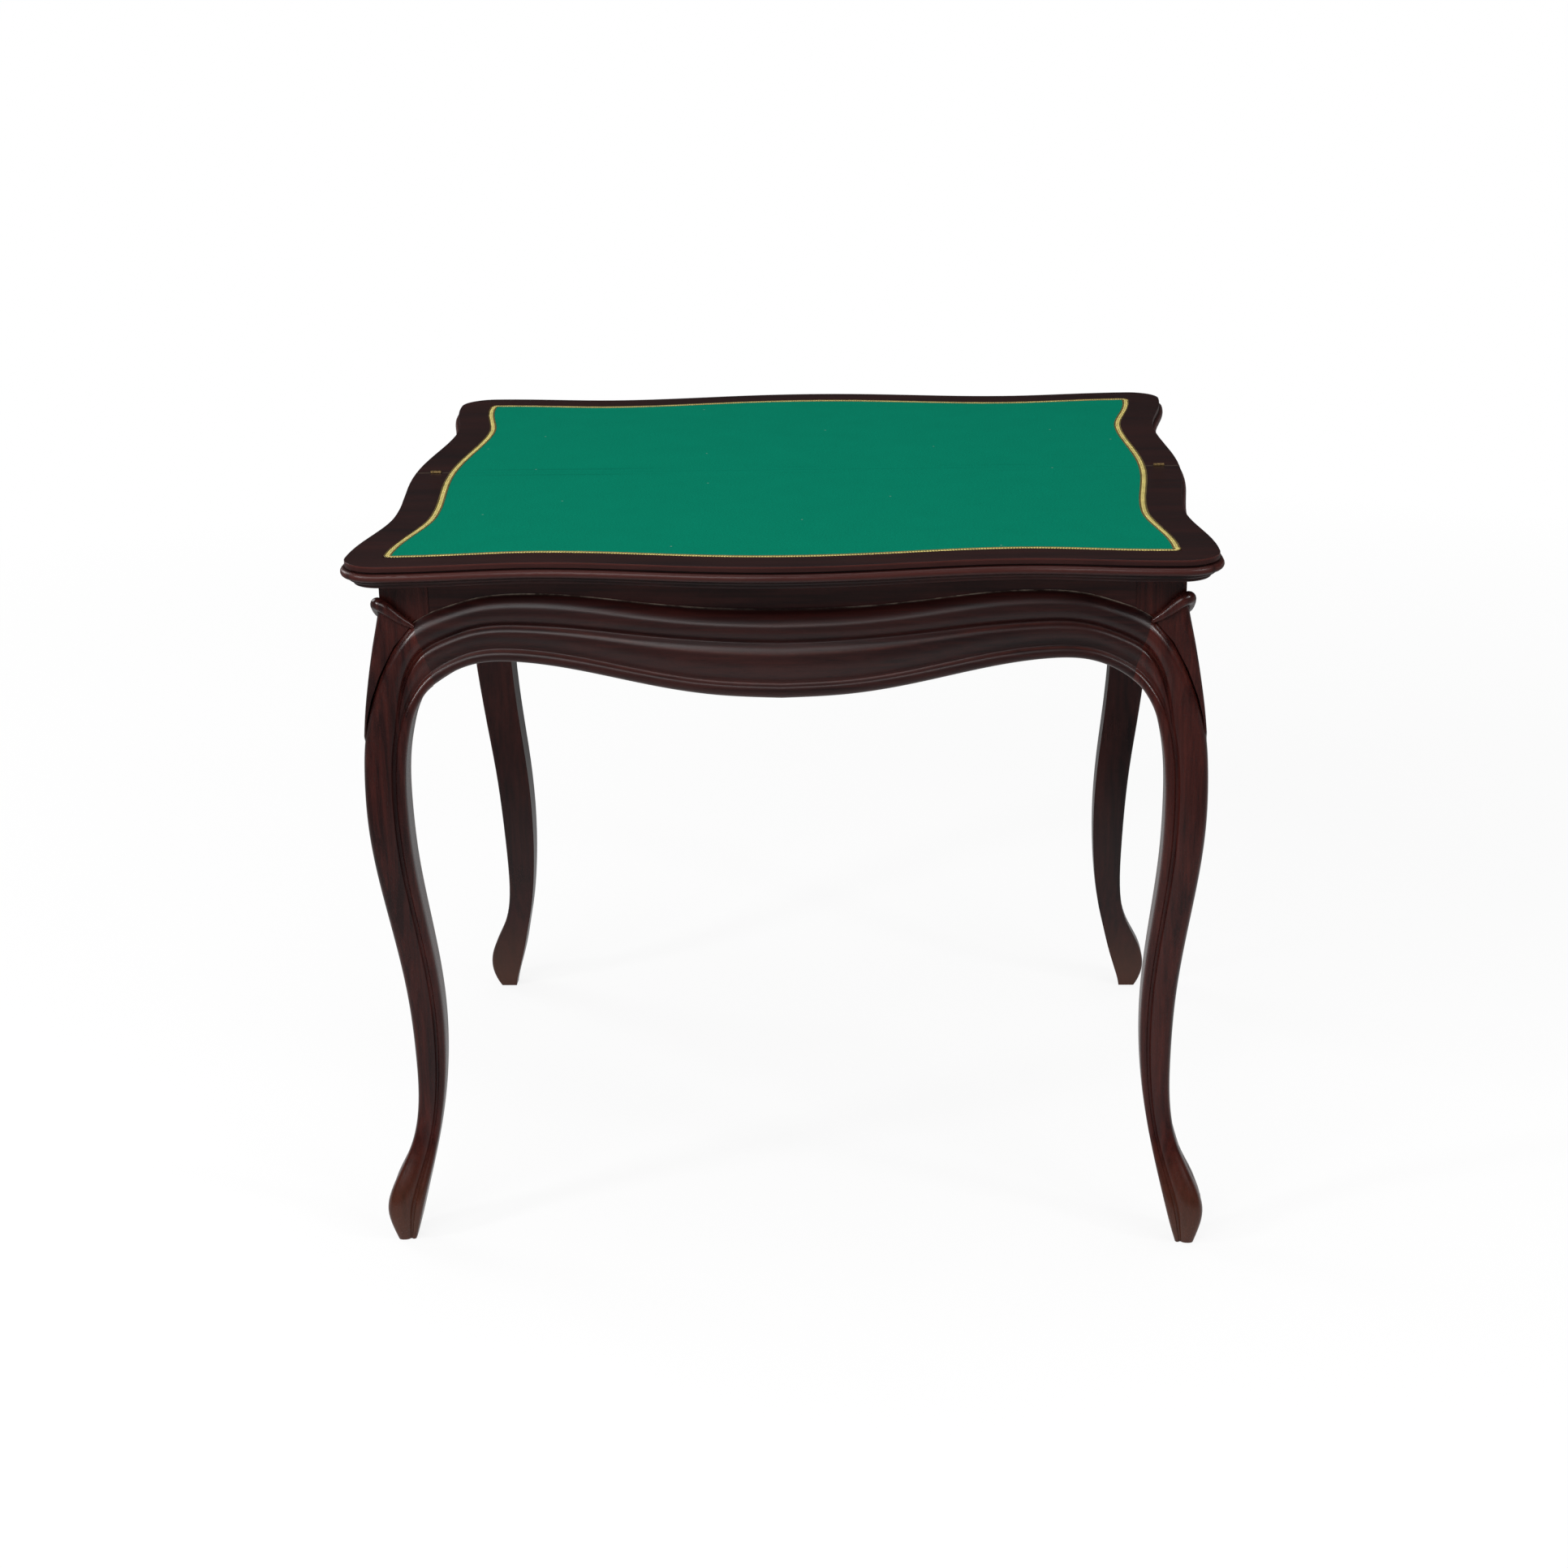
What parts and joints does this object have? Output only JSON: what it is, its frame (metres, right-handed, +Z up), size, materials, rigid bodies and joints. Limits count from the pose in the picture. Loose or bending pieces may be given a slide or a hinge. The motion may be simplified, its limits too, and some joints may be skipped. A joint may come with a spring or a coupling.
{
  "type": "folding game table",
  "caption": "Card table with a baize-lined fold-over top, curved legs and a rear leg frame that pulls out on folding side rails to carry the open leaf.",
  "frame": {"origin": "on the floor under the middle of the fold line of the open top", "axes": "+X across the table to the sitter's right, -Y towards the carved front, +Z up"},
  "size_m": [0.885, 0.865, 0.7629],
  "materials": {
    "mahogany": "dark polished mahogany",
    "inner_wood": "plain planed wood",
    "baize": "napped wool cloth",
    "gilt_braid": "woven gilt braid",
    "brass": "aged, dull",
    "steel": "dark, worn"
  },
  "bodies": {
    "front_frame": {"lower_leaf": "mahogany", "lower_baize": "baize", "lower_braid": "gilt_braid", "front_bed_moulding": "mahogany", "left_bed_moulding": "mahogany", "right_bed_moulding": "mahogany", "front_apron": "mahogany", "apron_moulding": "mahogany", "front_left_leg": "mahogany", "front_right_leg": "mahogany", "left_side_rail": "mahogany", "right_side_rail": "mahogany", "cross_rail": "inner_wood", "left_corner_block": "inner_wood", "right_corner_block": "inner_wood", "top_screws": "steel", "left_leaf_hinge_lower_plate": "brass", "right_leaf_hinge_lower_plate": "brass", "leaf_hinge_pins": "brass", "lower_leaf_hinge_screws": "steel", "left_front_hinge_fixed_plate": "brass", "right_front_hinge_fixed_plate": "brass", "front_hinge_pins": "brass", "side_rail_screws": "steel"},
    "upper_leaf": {"upper_leaf": "mahogany", "upper_baize": "baize", "upper_braid": "gilt_braid", "left_leaf_hinge_upper_plate": "brass", "right_leaf_hinge_upper_plate": "brass", "upper_leaf_hinge_screws": "steel"},
    "rear_frame": {"rear_left_leg": "mahogany", "rear_right_leg": "mahogany", "rear_rail": "mahogany", "rear_left_block": "inner_wood", "rear_right_block": "inner_wood", "left_rear_hinge_post_plate": "brass", "right_rear_hinge_post_plate": "brass", "rear_hinge_pins": "brass", "rear_post_screws": "steel"},
    "left_front_rail": {"left_front_folding_rail": "mahogany", "left_front_hinge_rail_plate": "brass", "left_middle_hinge_front_plate": "brass", "left_middle_hinge_pin": "brass", "left_front_rail_screws": "steel"},
    "left_rear_rail": {"left_rear_folding_rail": "mahogany", "left_middle_hinge_rear_plate": "brass", "left_rear_hinge_rail_plate": "brass", "left_rear_rail_screws": "steel"},
    "right_front_rail": {"right_front_folding_rail": "mahogany", "right_front_hinge_rail_plate": "brass", "right_middle_hinge_front_plate": "brass", "right_middle_hinge_pin": "brass", "right_front_rail_screws": "steel"},
    "right_rear_rail": {"right_rear_folding_rail": "mahogany", "right_middle_hinge_rear_plate": "brass", "right_rear_hinge_rail_plate": "brass", "right_rear_rail_screws": "steel"}
  },
  "joints": [
    {"name": "leaf_fold", "type": "hinge", "parent": "front_frame", "child": "upper_leaf", "pos_m": [0, 0, 0.7604], "axis": [1, 0, 0], "range_deg": [0, 180]},
    {"name": "left_rail_fold", "type": "hinge", "parent": "front_frame", "child": "left_front_rail", "pos_m": [-0.3686, -0.115, 0.703], "axis": [0, 0, 1], "range_deg": [-90, 0]},
    {"name": "left_middle_fold", "type": "hinge", "parent": "left_front_rail", "child": "left_rear_rail", "pos_m": [-0.3894, 0.061, 0.703], "axis": [0, 0, 1], "range_deg": [0, 180]},
    {"name": "left_rear_fold", "type": "hinge", "parent": "left_rear_rail", "child": "rear_frame", "pos_m": [-0.3686, 0.237, 0.703], "axis": [0, 0, 1], "range_deg": [-90, 0]},
    {"name": "right_rail_fold", "type": "hinge", "parent": "front_frame", "child": "right_front_rail", "pos_m": [0.3686, -0.115, 0.703], "axis": [0, 0, 1], "range_deg": [0, 90]},
    {"name": "right_middle_fold", "type": "hinge", "parent": "right_front_rail", "child": "right_rear_rail", "pos_m": [0.3894, 0.061, 0.703], "axis": [0, 0, 1], "range_deg": [-180, 0]}
  ],
  "couplings": [
    {"joint": "left_middle_fold", "follows": "left_rail_fold", "ratio": -2},
    {"joint": "left_rear_fold", "follows": "left_rail_fold", "ratio": 1},
    {"joint": "right_rail_fold", "follows": "left_rail_fold", "ratio": -1},
    {"joint": "right_middle_fold", "follows": "left_rail_fold", "ratio": 2}
  ]
}
